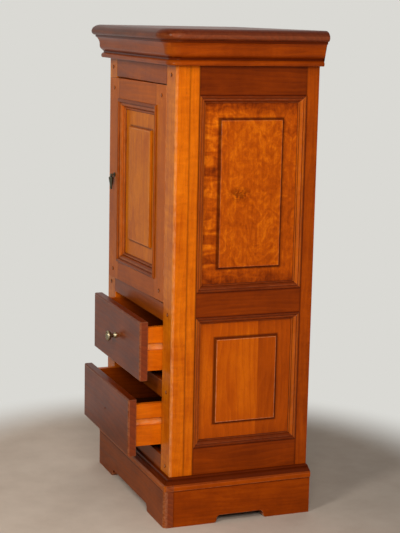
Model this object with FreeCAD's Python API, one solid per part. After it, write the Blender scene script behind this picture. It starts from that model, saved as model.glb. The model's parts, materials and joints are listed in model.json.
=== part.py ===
import FreeCAD, Part
import math
import os

V = FreeCAD.Vector

# Tall narrow cupboard of joined cherrywood, in millimetres. X runs to the right along the front,
# Y from the front face of the case to its back, Z up from the floor.

# Case
case_w = 510.0
case_d = 366.0
post_w = 64.0
post_d = 36.0
post_round = 6.0
rear_post_w = 40.0
rear_post_d = 32.0
rail_t = 24.0

# Heights of the front, from the floor up
plinth_h = 93.0
bottom_rail_h = 69.0
lower_opening_h = 147.0
divider_h = 41.0
upper_opening_h = 150.0
middle_rail_h = 42.0
door_opening_h = 527.0
frieze_h = 105.0

# Joinery
tenon_t = 10.0
tenon_l = 28.0
tenon_shoulder = 10.0
side_tenon_l = 14.0
peg_side = 7.4
peg_l = 20.0
peg_proud = 1.8
peg_bevel = 1.2

# Side frames
frame_t = 26.0
side_stile_w = 24.0
side_top_rail_drop = 23.0
side_middle_rail_lift = 16.0
side_middle_rail_h = 61.0
side_bottom_rail_rise = 30.0
panel_recess = 11.0
panel_t = 8.0
panel_groove = 7.0
panel_play = 0.5
field_margin = 55.0
field_raise = 6.0
field_round = 5.0
moulding_w = 18.0
moulding_bead_w = 6.0
moulding_proud = 2.0

# Top board and cornice
top_t = 26.0
top_overhang = 51.0
nosing_w = 24.0
nosing_under = 9.5
nosing_tip = 9.0
cornice_h = 58.0
cornice_reach = 40.5

# Plinth
plinth_overhang = 15.5
plinth_front_overhang = 18.0
plinth_rear_overhang = 5.0
plinth_front_t = 24.0
plinth_board_t = 22.0
plinth_round = 10.0
foot_l = 120.0
side_foot_l = 128.0
arch_h = 19.0
plinth_block = 40.0
plinth_block_h = 50.0
base_moulding_h = 31.0
base_moulding_reach = 18.5
base_moulding_round = 12.0

# Back and inside
back_rail_t = 20.0
back_rail_h = 70.0
back_panel_t = 6.0
back_rebate = 10.0
board_t = 18.0
cleat_w = 16.0
cleat_h = 20.0
shelf_rise = 240.0
shelf_setback = 4.0
stop_w = 12.0
stop_end = 18.0

# Drawers
drawer_front_t = 21.0
drawer_front_gap = 1.7
drawer_front_round = 4.5
drawer_l = 310.0
drawer_side_t = 15.0
drawer_side_gap = 4.0
drawer_side_rise = 24.0
drawer_side_drop = 14.0
drawer_tongue = 8.0
drawer_back_t = 12.0
drawer_back_setback = 8.0
drawer_back_drop = 8.0
drawer_bottom_t = 6.0
drawer_bottom_rise = 9.0
drawer_dado = 5.0
runner_groove_rise = 51.0
runner_groove_h = 18.0
runner_groove_d = 8.0
runner_play = 0.3
upper_pull_out = 58.0
lower_pull_out = 85.0

# Knob of the upper drawer and the hole for the one that the lower drawer lacks
knob_r = 13.0
knob_l = 24.0
knob_neck_r = 4.2
knob_base_r = 7.5
knob_dish = 2.2
turning_flats = 3
knob_hole_r = 2.5
knob_screw_r = 2.0
knob_screw_depth = 10.0
screw_head_r = 4.5
screw_head_h = 2.6

# Door
door_t = 24.0
door_gap = 2.0
door_end_gap = 2.5
door_stile_w = 65.0
door_top_rail_h = 56.0
door_bottom_rail_h = 54.0
door_tenon_l = 40.0
door_recess = 13.0
door_panel_t = 7.0
door_groove = 8.0
door_field_margin_x = 51.0
door_field_margin_z = 60.0
door_moulding_w = 27.0
door_moulding_lip = 6.0
door_moulding_proud = 4.5
door_bead_w = 9.0
door_ajar_deg = 2.9

# Pivots of the door
pivot_edge = 12.0
pivot_depth = 6.0
pivot_r = 3.0
pivot_l = 12.0
pivot_play = 0.05
pivot_collar_r = 6.0
seat_play = 0.3

# Drop pull of the door
pull_edge = 36.0
pull_rise = 272.5
pull_stand_off = 9.5
pull_rosette_r = 6.0
pull_rosette_h = 1.6
pull_ear_w = 5.0
pull_ear_t = 1.6
pull_tongue_t = 3.4
pull_pin_r = 1.2
pull_side_play = 0.3
drop_r = 6.8
drop_shoulder_r = 3.2
drop_tip_r = 2.4
drop_l = 33.0
drop_hang = 5.0

# Levels and places that follow from the sizes above
half_w = case_w / 2
half_open = half_w - post_w
z_lower = plinth_h + bottom_rail_h
z_divider = z_lower + lower_opening_h
z_upper = z_divider + divider_h
z_middle = z_upper + upper_opening_h
z_door = z_middle + middle_rail_h
z_frieze = z_door + door_opening_h
z_top = z_frieze + frieze_h
side_in = half_w - frame_t
side_front = post_d + side_stile_w
side_back = case_d - rear_post_d
z_side_low = z_lower + side_bottom_rail_rise
z_side_mid = z_middle + side_middle_rail_lift
z_side_high = z_side_mid + side_middle_rail_h
z_side_top = z_frieze - side_top_rail_drop
back_face = side_back + back_rail_t
z_cornice = z_top - cornice_h
plinth_front_back = plinth_front_t - plinth_front_overhang
plinth_rear = case_d + plinth_rear_overhang
pivot_x = half_open - door_gap - pivot_edge
y_front = min(-lower_pull_out, -upper_pull_out - knob_l)
to_origin = V(0, -(plinth_rear + y_front) / 2, 0)


def box(x0, y0, z0, x1, y1, z1):
    """Box between two corners."""
    return Part.makeBox(x1 - x0, y1 - y0, z1 - z0, V(x0, y0, z0))


def cylinder(radius, start, end):
    """Round bar from one point to another."""
    return Part.makeCylinder(radius, start.distanceToPoint(end), start, end - start)


def mirrored(shape):
    """The same piece on the other side of the cupboard."""
    return shape.mirror(V(0, 0, 0), V(1, 0, 0))


def edges_where(shape, test):
    """Edges whose bounding box passes the test."""
    return [edge for edge in shape.Edges if test(edge.BoundBox)]


def outline(start, *steps):
    """Closed face in the YZ plane: two numbers go on in a line, four in an arc through the last two."""
    edges = []
    here = V(0, *start)
    for step in steps + (start,):
        target = V(0, *step[:2])
        if len(step) == 4:
            edges.append(Part.Arc(here, V(0, *step[2:]), target).toShape())
        else:
            edges.append(Part.makeLine(here, target))
        here = target
    return Part.Face(Part.Wire(edges))


def turned(*stretches):
    """Solid turned about Z from stretches of (radius, height) points: two are a line, three an arc."""
    points = []
    for stretch in stretches:
        ends = [V(0, r, z) for r, z in stretch]
        points += ends if len(ends) == 2 else Part.Arc(*ends).discretize(turning_flats + 1)
    corners = points[:1]
    for point in points[1:]:
        if point.distanceToPoint(corners[-1]) > 0.01:
            corners.append(point)
    return Part.Face(Part.makePolygon(corners + corners[:1])).revolve(V(0, 0, 0), V(0, 0, 1), 360)


def strip(profile, length, start_mitre, end_mitre):
    """Moulding along +X, its back edge on the X axis: a mitre of 1 turns in, -1 turns out, 0 is square."""
    size = profile.BoundBox
    reach = size.YMax
    run = profile.translated(V(-reach, 0, 0)).extrude(V(length + 2 * reach, 0, 0))
    far = length - end_mitre * reach
    near = start_mitre * reach
    corners = [(0, 0), (length, 0), (far, reach), (near, reach), (0, 0)]
    plan = Part.Face(Part.makePolygon([V(x, y, size.ZMin) for x, y in corners]))
    return run.common(plan.extrude(V(0, 0, size.ZLength)))


def seat(shape, origin, along, inward):
    """Lay a piece made in the XY plane at a point, with its X and Y along two directions."""
    turn = FreeCAD.Rotation(along, inward, along.cross(inward), "XYZ")
    laid = shape.copy()
    laid.Placement = FreeCAD.Placement(origin, turn).multiply(shape.Placement)
    return laid


def mitred_frame(profile, width, height):
    """Four mitred strips round the inside of a rectangle in the XY plane."""
    wide = strip(profile, width, 1, 1)
    high = strip(profile, height, 1, 1)
    x = V(1, 0, 0)
    y = V(0, 1, 0)
    return [
        seat(wide, V(0, 0, 0), x, y),
        seat(high, V(width, 0, 0), y, -x),
        seat(wide, V(width, height, 0), -x, -y),
        seat(high, V(0, height, 0), -y, x),
    ]


def raised_panel(width, height, margin_x, margin_y, thickness, groove):
    """Panel for an opening, with its face at Z 0 and above it a raised field, rounded at the rim."""
    edge = groove - panel_play
    slab = box(-edge, -edge, -thickness, width + edge, height + edge, 0)
    field = box(margin_x, margin_y, -thickness, width - margin_x, height - margin_y, field_raise)
    rim = edges_where(field, lambda b: b.ZMin > field_raise - 0.01)
    return slab.fuse(field.makeFillet(field_round, rim)).removeSplitter()


def peg(x, z):
    """Square peg set on its corner, driven in along +Y from the face at Y 0."""
    half = peg_side / math.sqrt(2)
    corners = [V(x - half, -peg_proud, z), V(x, -peg_proud, z - half), V(x + half, -peg_proud, z)]
    corners += [V(x, -peg_proud, z + half), V(x - half, -peg_proud, z)]
    bar = Part.Face(Part.makePolygon(corners)).extrude(V(0, peg_proud + peg_l, 0))
    rim = edges_where(bar, lambda b: b.YMax < -peg_proud + 0.01)
    return bar.makeChamfer(peg_bevel, rim)


def panel_moulding_profile():
    """Planted moulding of the side panels: bead, quirk, fall and a small inner bead."""
    w = moulding_w
    bead = moulding_bead_w
    top = panel_recess
    return outline(
        (0, 0),
        (0, top),
        (bead, top, bead / 2, top + moulding_proud),
        (bead, top - 1.6),
        (w - 4, top / 3, w - 6.6, top * 0.72),
        (w - 4, top / 4),
        (w - 0.6, top / 7, w - 2.2, top * 0.34),
        (w, top / 7),
        (w, 0),
    )


def door_moulding_profile():
    """Heavier moulding of the door, which laps over the frame's edge and stands proud of it."""
    w = door_moulding_w
    lip = door_moulding_lip
    bead = door_bead_w
    top = door_recess
    return outline(
        (lip, 0),
        (lip, top),
        (0, top),
        (0, top + 1),
        (bead, top + 1, bead / 2, top + door_moulding_proud),
        (bead, top - 1),
        (w - 7, top * 0.38, w - 10.4, top * 0.82),
        (w - 7, top * 0.31),
        (w - 1, top * 0.16, w - 3.6, top * 0.43),
        (w, top * 0.16),
        (w, 0),
    )


def cornice_profile():
    """Cornice under the top board: rounded band, quirk, swelling neck, cove and fillet."""
    r = cornice_reach
    h = cornice_h
    return outline(
        (0, 0),
        (r * 0.56, 0),
        (r * 0.51, h * 0.2, r * 0.62, h * 0.095),
        (r * 0.46, h * 0.22),
        (r * 0.46, h * 0.28),
        (r * 0.63, h * 0.38),
        (r * 0.72, h * 0.49, r * 0.69, h * 0.43),
        (r * 0.73, h * 0.64),
        (r * 0.97, h * 0.92, r * 0.805, h * 0.79),
        (r, h * 0.92),
        (r, h),
        (0, h),
    )


def nosing_profile():
    """Edge of the top board: flat below, blunt in front and falling away in a long curve from the top."""
    tip = top_overhang
    flat = tip - nosing_under
    bend = math.sqrt(0.5)
    curve = []
    for turn in (18, 36, 63, 90):
        angle = math.radians(turn)
        reach = tip - nosing_w * (1 - math.cos(angle))
        curve.append((reach, nosing_tip + (top_t - nosing_tip) * math.sin(angle)))
    return outline(
        (0, 0),
        (flat, 0),
        (tip, nosing_tip, flat + nosing_under * bend, nosing_tip * (1 - bend)),
        curve[1] + curve[0],
        curve[3] + curve[2],
        (0, top_t),
    )


def base_moulding_profile():
    """Moulding on top of the plinth: blunt nose, slope, quirk and a small bead against the case."""
    r = base_moulding_reach
    h = base_moulding_h
    return outline(
        (0, 0),
        (r * 0.96, 0),
        (r, h * 0.05),
        (r, h * 0.29),
        (r * 0.68, h * 0.565, r * 0.91, h * 0.46),
        (r * 0.46, h * 0.69),
        (r * 0.33, h * 0.7),
        (r * 0.33, h * 0.78),
        (r * 0.2, h * 0.98, r * 0.38, h * 0.9),
        (0, h),
    )


def front_rail(z0, z1):
    """Rail between the front posts with a tenon at each end."""
    rail = box(-half_open, 0, z0, half_open, rail_t, z1)
    y = (rail_t - tenon_t) / 2
    reach = half_open + tenon_l
    tenon = box(-reach, y, z0 + tenon_shoulder, reach, y + tenon_t, z1 - tenon_shoulder)
    return rail.fuse(tenon).removeSplitter()


def side_rail(z0, z1):
    """Rail of the right-hand side frame with a tenon at each end."""
    rail = box(side_in, side_front, z0, half_w, side_back, z1)
    x = half_w - (frame_t + tenon_t) / 2
    low = z0 + tenon_shoulder
    high = z1 - tenon_shoulder
    tenon = box(x, side_front - side_tenon_l, low, x + tenon_t, side_back + side_tenon_l, high)
    return rail.fuse(tenon).removeSplitter()


def back_rail(z0, z1):
    """Rail between the rear posts, in front of the back panel."""
    half = half_w - rear_post_w
    rail = box(-half, side_back, z0, half, back_face, z1)
    y = side_back + (back_rail_t - tenon_t) / 2
    reach = half + side_tenon_l
    tenon = box(-reach, y, z0 + tenon_shoulder, reach, y + tenon_t, z1 - tenon_shoulder)
    return rail.fuse(tenon).removeSplitter()


def side_frame(back_rails):
    """Stile, rails, panels, mouldings and rear post of the right-hand side."""
    spans = {"lower": (z_side_low, z_side_mid), "upper": (z_side_high, z_side_top)}
    rails = {
        "bottom": side_rail(plinth_h, z_side_low),
        "middle": side_rail(z_side_mid, z_side_high),
        "top": side_rail(z_side_top, z_top),
    }
    stile = box(side_in, post_d, plinth_h, half_w, side_front, z_top)
    inner = half_w - rear_post_w
    rear = box(inner, side_back, plinth_h, half_w, case_d, z_top)
    rebate = box(inner, back_face, plinth_h, inner + back_rebate, case_d, z_top)
    rear = rear.cut(rebate).cut(list(rails.values()) + back_rails)
    stile = stile.cut(list(rails.values()))
    panels = {}
    mouldings = []
    width = side_back - side_front
    face_x = half_w - panel_recess
    for name, (low, high) in spans.items():
        corner = V(face_x, side_front, low)
        panel = raised_panel(width, high - low, field_margin, field_margin, panel_t, panel_groove)
        panels[name] = seat(panel, corner, V(0, 1, 0), V(0, 0, 1))
        strips = mitred_frame(panel_moulding_profile(), width, high - low)
        mouldings += [seat(one, corner, V(0, 1, 0), V(0, 0, 1)) for one in strips]
        slot = box(face_x - panel_t, side_front - panel_groove, low - panel_groove,
                   face_x, side_back + panel_groove, high + panel_groove)
        stile = stile.cut(slot)
        rear = rear.cut(slot)
        rails = {key: rail.cut(slot) for key, rail in rails.items()}
    pieces = {"side_stile": stile, "rear_post": rear, "side_mouldings": Part.makeCompound(mouldings)}
    pieces.update({"side_" + key + "_rail": rail for key, rail in rails.items()})
    pieces.update({"side_" + key + "_panel": panel for key, panel in panels.items()})
    return pieces


def front_frame():
    """Front posts, the four rails between them and the pegs that hold their tenons."""
    visible = {
        "frieze_rail": (z_frieze, z_top, z_frieze, z_cornice),
        "middle_rail": (z_middle, z_door, z_middle, z_door),
        "drawer_divider": (z_divider, z_upper, z_divider, z_upper),
        "bottom_rail": (plinth_h, z_lower, plinth_h + base_moulding_h, z_lower),
    }
    pegs = []
    pieces = {}
    for name, (low, high, seen_low, seen_high) in visible.items():
        pieces[name] = front_rail(low, high)
        pegs += [peg(side * (half_w - post_w / 2), (seen_low + seen_high) / 2) for side in (-1, 1)]
    rails = list(pieces.values())
    post = box(half_open, 0, plinth_h, half_w, post_d, z_top)
    corner = edges_where(post, lambda b: b.YMax < 0.01 and b.XMin > half_w - 0.01)
    post = post.makeFillet(post_round, corner)
    pieces = {name: rail.cut(pegs) for name, rail in pieces.items()}
    pieces["front_post_right"] = post.cut(rails + pegs)
    pieces["front_post_left"] = mirrored(post).cut(rails + pegs)
    pieces["frame_pegs"] = Part.makeCompound(pegs)
    return pieces


def round_the_case(profile, z):
    """Front and side lengths of a moulding that turns the posts' round corners, mitred half way round."""
    x = half_w - post_round
    axis = V(x, post_round, z)
    up = V(0, 0, 1)
    front_end = seat(profile, V(x, 0, z), V(-1, 0, 0), V(0, -1, 0))
    side_end = seat(profile, V(half_w, post_round, z), V(0, -1, 0), V(1, 0, 0))
    bend = front_end.revolve(axis, up, 45)
    front = front_end.extrude(V(-2 * x, 0, 0)).fuse([bend, mirrored(bend)]).removeSplitter()
    side = side_end.extrude(V(0, case_d - post_round, 0))
    side = side.fuse(side_end.revolve(axis, up, -45)).removeSplitter()
    return [front, side, mirrored(side)]


def top_board():
    """Overhanging top with rounded corners and a nosing on its front and ends."""
    board = box(-half_w, 0, z_top, half_w, case_d, z_top + top_t)
    return board.fuse(round_the_case(nosing_profile(), z_top)).removeSplitter()


def arch(length, foot, thickness):
    """Cut-out under a plinth board that runs along +Y from 0, with an S curve at each foot."""
    left = foot
    right = length - foot
    h = arch_h
    face = outline(
        (left, 0),
        (left + h * 0.44, h * 0.5, left + h * 0.32, h * 0.16),
        (left + h, h, left + h * 0.59, h * 0.86),
        (right - h, h),
        (right - h * 0.44, h * 0.5, right - h * 0.59, h * 0.86),
        (right, 0, right - h * 0.32, h * 0.16),
    )
    return face.extrude(V(thickness, 0, 0))


def plinth():
    """Plinth boards on bracket-shaped feet, with glue blocks in the corners."""
    side = half_w + plinth_overhang
    inner = side - plinth_board_t
    back_y = plinth_rear - plinth_board_t
    across = (V(0, -1, 0), V(1, 0, 0))
    front = box(-side, -plinth_front_overhang, 0, side, plinth_front_back, plinth_h)
    ends = edges_where(front, lambda b: b.ZLength > plinth_h - 0.01 and b.YMax < 0)
    front = front.makeFillet(plinth_round, ends)
    front = front.cut(seat(arch(2 * side, foot_l, plinth_front_t), V(-side, plinth_front_back, 0), *across))
    right = box(inner, plinth_front_back, 0, side, plinth_rear, plinth_h)
    side_arch = arch(case_d + 2 * plinth_overhang, side_foot_l, plinth_board_t)
    right = right.cut(side_arch.translated(V(inner, -plinth_overhang, 0)))
    back = box(-inner, back_y, 0, inner, plinth_rear, plinth_h)
    back = back.cut(seat(arch(2 * inner, foot_l, plinth_board_t), V(-inner, plinth_rear, 0), *across))
    low = plinth_h - plinth_block_h
    blocks = []
    for y in (plinth_front_back, back_y - plinth_block):
        block = box(inner - plinth_block, y, low, inner, y + plinth_block, plinth_h)
        blocks += [block, mirrored(block)]
    return {
        "plinth_front": front,
        "plinth_right": right,
        "plinth_left": mirrored(right),
        "plinth_back": back,
        "plinth_glue_blocks": Part.makeCompound(blocks),
    }


def base_moulding():
    """Plinth moulding: the front length turns the corners with the front board, the sides butt on to it."""
    profile = base_moulding_profile()
    across = seat(strip(profile, case_w, -1, -1), V(half_w, 0, plinth_h), V(-1, 0, 0), V(0, -1, 0))
    corner = V(half_w, plinth_front_back, plinth_h)
    turn = seat(strip(profile, plinth_front_back, 0, -1), corner, V(0, -1, 0), V(1, 0, 0))
    reach = half_w + base_moulding_reach
    high = plinth_h + base_moulding_h
    worn = box(-reach, -base_moulding_reach, plinth_h, reach, plinth_front_back, high)
    ends = edges_where(worn, lambda b: b.ZLength > base_moulding_h - 0.01 and b.YMax < 0)
    worn = worn.makeFillet(base_moulding_round, ends)
    front = across.fuse([turn, mirrored(turn)]).removeSplitter().common(worn)
    side_l = plinth_rear - plinth_front_back
    side = seat(strip(profile, side_l, 0, 0), V(half_w, plinth_rear, plinth_h), V(0, -1, 0), V(1, 0, 0))
    rounded_end = outline(
        (plinth_front_back, plinth_h),
        (plinth_rear, plinth_h),
        (plinth_rear, plinth_h + base_moulding_h * 0.4),
        (case_d, high, case_d + plinth_rear_overhang * 0.7, plinth_h + base_moulding_h * 0.8),
        (plinth_front_back, high),
    )
    side = side.common(rounded_end.extrude(V(reach, 0, 0)))
    return Part.makeCompound([front, side, mirrored(side)])


def cornice():
    """Cornice on the front and sides, carried round the front corners."""
    return Part.makeCompound(round_the_case(cornice_profile(), z_cornice))


def both_sides(shape):
    """A piece and its twin on the other side, as one group."""
    return Part.makeCompound([shape, mirrored(shape)])


def inside():
    """Cupboard floor, shelf, the cleats under both, door stop and back panel."""
    floor = box(-side_in, post_d, z_door - board_t, side_in, side_back, z_door)
    tongue = box(-half_open, rail_t, z_door - board_t, half_open, post_d, z_door)
    floor = floor.fuse(tongue).removeSplitter()
    shelf_z = z_door + shelf_rise
    shelf = box(-side_in, post_d + shelf_setback, shelf_z, side_in, side_back, shelf_z + board_t)
    cleats = []
    for z in (z_door - board_t, shelf_z):
        cleat = box(side_in - cleat_w, post_d, z - cleat_h, side_in, side_back, z)
        cleats += [cleat, mirrored(cleat)]
    stop_low = z_door + stop_end
    stop_high = z_frieze - stop_end
    stop = box(-half_open, door_t + seat_play, stop_low, stop_w - half_open, post_d, stop_high)
    half_back = half_w - rear_post_w + back_rebate - panel_play
    panel = box(-half_back, back_face, plinth_h, half_back, back_face + back_panel_t, z_top)
    return {
        "cupboard_floor": floor,
        "shelf": shelf,
        "shelf_cleats": Part.makeCompound(cleats),
        "door_stop": stop,
        "back_panel": panel,
    }


def runners(z0):
    """Pair of wooden runners for the drawer whose opening starts at z0."""
    low = z0 + drawer_front_gap + drawer_side_rise + runner_groove_rise
    bottom = low + runner_play
    top = low + runner_groove_h - runner_play
    tip = half_open - drawer_side_gap - runner_groove_d + runner_play
    front = drawer_front_t + 2 * drawer_front_gap
    bar = box(tip, front, bottom, half_open, side_back, top)
    web = box(half_open, post_d, bottom, side_in, side_back, top)
    return both_sides(bar.fuse(web).removeSplitter())


def drawer(z0, opening_h, pull_out):
    """Front, sides, back and bottom of a drawer that is drawn out of its opening."""
    half_front = half_open - drawer_front_gap
    low = z0 + drawer_front_gap
    high = z0 + opening_h - drawer_front_gap
    front = box(-half_front, 0, low, half_front, drawer_front_t, high)
    front = front.makeFillet(drawer_front_round, edges_where(front, lambda b: b.YMax < 0.01))
    outer = half_open - drawer_side_gap
    inner = outer - drawer_side_t
    side_low = low + drawer_side_rise
    side_high = high - drawer_side_drop
    side = box(inner, drawer_front_t - drawer_tongue, side_low, outer, drawer_l, side_high)
    groove_low = side_low + runner_groove_rise
    groove_high = groove_low + runner_groove_h
    groove = box(outer - runner_groove_d, drawer_front_t, groove_low, outer, drawer_l, groove_high)
    bottom_low = side_low + drawer_bottom_rise
    bottom_high = bottom_low + drawer_bottom_t
    bed = inner + drawer_dado
    back_end = drawer_l - drawer_back_setback
    bottom = box(-bed, drawer_front_t - drawer_dado, bottom_low, bed, back_end, bottom_high)
    back = box(-bed, back_end - drawer_back_t, bottom_high, bed, back_end, side_high - drawer_back_drop)
    hole = cylinder(knob_hole_r, V(0, 0, (low + high) / 2), V(0, drawer_front_t, (low + high) / 2))
    side = side.cut(groove).cut([bottom, back])
    sides = both_sides(side)
    pieces = {
        "front": front.cut([side, mirrored(side), bottom, hole]),
        "sides": sides,
        "back": back,
        "bottom": bottom,
    }
    return {name: piece.translated(V(0, -pull_out, 0)) for name, piece in pieces.items()}


def knob():
    """Turned knob with a dished face, its axis along -Y from the drawer front."""
    r = knob_r
    end = knob_l
    foot = (knob_base_r, end * 0.094)
    throat = (r * 0.768, end * 0.629)
    rim = (r * 0.88, end)
    dish = (r * 0.7, end - knob_dish)
    brass = turned(
        [(0, 0), (knob_base_r, 0)],
        [(knob_base_r, 0), foot],
        [foot, (knob_neck_r, end * 0.342), throat],
        [throat, (r, end * 0.8125), rim],
        [rim, dish],
        [dish, (0, end - knob_dish)],
    )
    return seat(brass, V(0, 0, 0), V(1, 0, 0), V(0, 0, 1)).cut(knob_screw())


def knob_screw():
    """Screw through the drawer front into the knob, its head on the inside."""
    shank = cylinder(knob_screw_r, V(0, -knob_screw_depth, 0), V(0, drawer_front_t, 0))
    head = cylinder(screw_head_r, V(0, drawer_front_t, 0), V(0, drawer_front_t + screw_head_h, 0))
    return shank.fuse(head).removeSplitter()


def door():
    """Framed door in its closed place: stiles, pegged rails, raised panel, moulding and pivot pins."""
    half = half_open - door_gap
    low = z_door + door_end_gap
    high = z_frieze - door_end_gap
    open_x = half - door_stile_w
    open_low = low + door_bottom_rail_h
    open_high = high - door_top_rail_h
    y = (door_t - tenon_t) / 2
    reach = open_x + door_tenon_l
    rails = {}
    for name, z0, z1 in (("bottom", low, open_low), ("top", open_high, high)):
        rail = box(-open_x, 0, z0, open_x, door_t, z1)
        tenon = box(-reach, y, z0 + tenon_shoulder, reach, y + tenon_t, z1 - tenon_shoulder)
        rails[name] = rail.fuse(tenon).removeSplitter()
    seen = door_stile_w - door_moulding_lip
    peg_low = low + (door_bottom_rail_h - door_moulding_lip) / 2
    peg_high = high - (door_top_rail_h - door_moulding_lip) / 2
    pegs = [peg(side * (half - seen / 2), z) for side in (-1, 1) for z in (peg_low, peg_high)]
    corner = V(-open_x, door_recess, open_low)
    width = 2 * open_x
    height = open_high - open_low
    flat = raised_panel(width, height, door_field_margin_x, door_field_margin_z, door_panel_t, door_groove)
    lip = door_moulding_lip
    strips = mitred_frame(door_moulding_profile(), width + 2 * lip, height + 2 * lip)
    lapped = corner + V(-lip, 0, -lip)
    slot = box(-open_x - door_groove, door_recess, open_low - door_groove,
               open_x + door_groove, door_recess + door_panel_t, open_high + door_groove)
    stile = box(open_x, 0, low, half, door_t, high).cut(list(rails.values()) + pegs + [slot])
    pins = pivot_pins(low, high)
    return {
        "door_stile_right": stile.cut(pins),
        "door_stile_left": mirrored(stile),
        "door_bottom_rail": rails["bottom"].cut(pegs + [slot]),
        "door_top_rail": rails["top"].cut(pegs + [slot]),
        "door_panel": seat(flat, corner, V(1, 0, 0), V(0, 0, 1)),
        "door_moulding": Part.makeCompound([seat(one, lapped, V(1, 0, 0), V(0, 0, 1)) for one in strips]),
        "door_pegs": Part.makeCompound(pegs),
        "door_pivot_pins": Part.makeCompound(pins),
    }


def upright(radius, low, high):
    """Round bar on the door's axis."""
    return cylinder(radius, V(pivot_x, pivot_depth, low), V(pivot_x, pivot_depth, high))


def pivot_pins(low, high):
    """Steel pins let into the hinge stile; the lower one has a collar that carries the door."""
    depth = pivot_l + door_end_gap
    upper = upright(pivot_r, high - pivot_l, high + depth)
    lower = upright(pivot_r, low - depth, low + pivot_l)
    collar = upright(pivot_collar_r, low - door_end_gap + seat_play, low)
    return [upper, lower.fuse(collar).removeSplitter()]


def pivot_bores():
    """Holes in the rails above and below the door for its pins."""
    r = pivot_r + pivot_play
    depth = pivot_l + 2 * seat_play
    return upright(r, z_frieze, z_frieze + depth), upright(r, z_door - depth, z_door)


def door_pull():
    """Rosette with two ears and a cross pin, and the tapering drop that hangs from the pin."""
    x = door_gap - half_open + pull_edge
    z = z_door + door_end_gap + pull_rise
    pin_at = V(x, -pull_stand_off, z)
    gap = pull_tongue_t / 2 + pull_side_play
    rosette = cylinder(pull_rosette_r, V(x, -pull_rosette_h, z), V(x, 0, z))
    ears = []
    for side in (-1, 1):
        inner = x + side * gap
        outer = inner + side * pull_ear_t
        low_x = min(inner, outer)
        high_x = max(inner, outer)
        half = pull_ear_w / 2
        ears.append(box(low_x, -pull_stand_off, z - half, high_x, -pull_rosette_h, z + half))
        ears.append(cylinder(half, V(low_x, -pull_stand_off, z), V(high_x, -pull_stand_off, z)))
    span = V(gap + pull_ear_t, 0, 0)
    pin = cylinder(pull_pin_r, pin_at - span, pin_at + span)
    stud = rosette.fuse(ears + [pin]).removeSplitter()
    bend = math.sqrt(0.5)
    crown = drop_r - drop_shoulder_r
    shoulder = (drop_r, -drop_shoulder_r)
    tip = (drop_tip_r, drop_tip_r - drop_l)
    body = turned(
        [(0, 0), (crown, 0)],
        [(crown, 0), (crown + drop_shoulder_r * bend, drop_shoulder_r * (bend - 1)), shoulder],
        [shoulder, tip],
        [tip, (drop_tip_r * bend, tip[1] - drop_tip_r * bend), (0, -drop_l)],
    ).translated(pin_at - V(0, 0, drop_hang))
    half = pull_tongue_t / 2
    eye = cylinder(pull_ear_w / 2, pin_at - V(half, 0, 0), pin_at + V(half, 0, 0))
    tongue = box(x - half, -pull_stand_off - pull_ear_w / 2, z - drop_hang - pull_side_play,
                 x + half, -pull_stand_off + pull_ear_w / 2, z)
    hole = cylinder(pull_pin_r + pivot_play, pin_at - span, pin_at + span)
    drop = body.fuse([eye, tongue]).removeSplitter().cut(hole)
    return {"door_pull_stud": stud, "door_pull_drop": drop}


def swung_open(shape):
    """A door piece turned about the pivots to where the door stands ajar."""
    return shape.rotated(V(pivot_x, pivot_depth, 0), V(0, 0, 1), door_ajar_deg)


def cupboard():
    """Every piece by name, in the pose where the drawers are drawn and the door is ajar."""
    back_levels = ((plinth_h, plinth_h + back_rail_h), (z_middle, z_door), (z_top - back_rail_h, z_top))
    back_rails = [back_rail(low, high) for low, high in back_levels]
    pieces = front_frame()
    above, below = pivot_bores()
    pieces["frieze_rail"] = pieces["frieze_rail"].cut(above)
    pieces["middle_rail"] = pieces["middle_rail"].cut(below)
    for name, piece in side_frame(back_rails).items():
        pieces[name + "_right"] = piece
        pieces[name + "_left"] = mirrored(piece)
    pieces["back_rails"] = Part.makeCompound(back_rails)
    pieces["top_board"] = top_board()
    pieces["cornice"] = cornice()
    pieces.update(plinth())
    pieces["plinth_moulding"] = base_moulding()
    pieces.update(inside())
    for name, z0, opening_h, pull_out in (
        ("upper", z_upper, upper_opening_h, upper_pull_out),
        ("lower", z_lower, lower_opening_h, lower_pull_out),
    ):
        pieces[name + "_drawer_runners"] = runners(z0)
        for key, piece in drawer(z0, opening_h, pull_out).items():
            pieces[name + "_drawer_" + key] = piece
    knob_at = V(0, -upper_pull_out, z_upper + upper_opening_h / 2)
    pieces["upper_drawer_knob"] = knob().translated(knob_at)
    pieces["upper_drawer_knob_screw"] = knob_screw().translated(knob_at)
    for name, piece in {**door(), **door_pull()}.items():
        pieces[name] = swung_open(piece)
    return pieces


os.makedirs("parts", exist_ok=True)
for node, piece in cupboard().items():
    piece.translated(to_origin).exportStep("parts/" + node + ".step")
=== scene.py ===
# %% [markdown]
# This lesson dresses a tall narrow cupboard of stained cherrywood: a framed door above two drawers,
# raised panels in the sides, a cornice and a plinth. The solid model already has every board, joint and
# turned piece at its real size, so it is loaded first and stays fixed. Here the boards get softened
# edges and a finish, and the scene gets a camera, a floor and light.

# %% Load the solid model
import json
import math
import random
from collections import namedtuple

import bmesh
import bpy
from mathutils import Matrix, Vector
from mathutils.bvhtree import BVHTree

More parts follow.
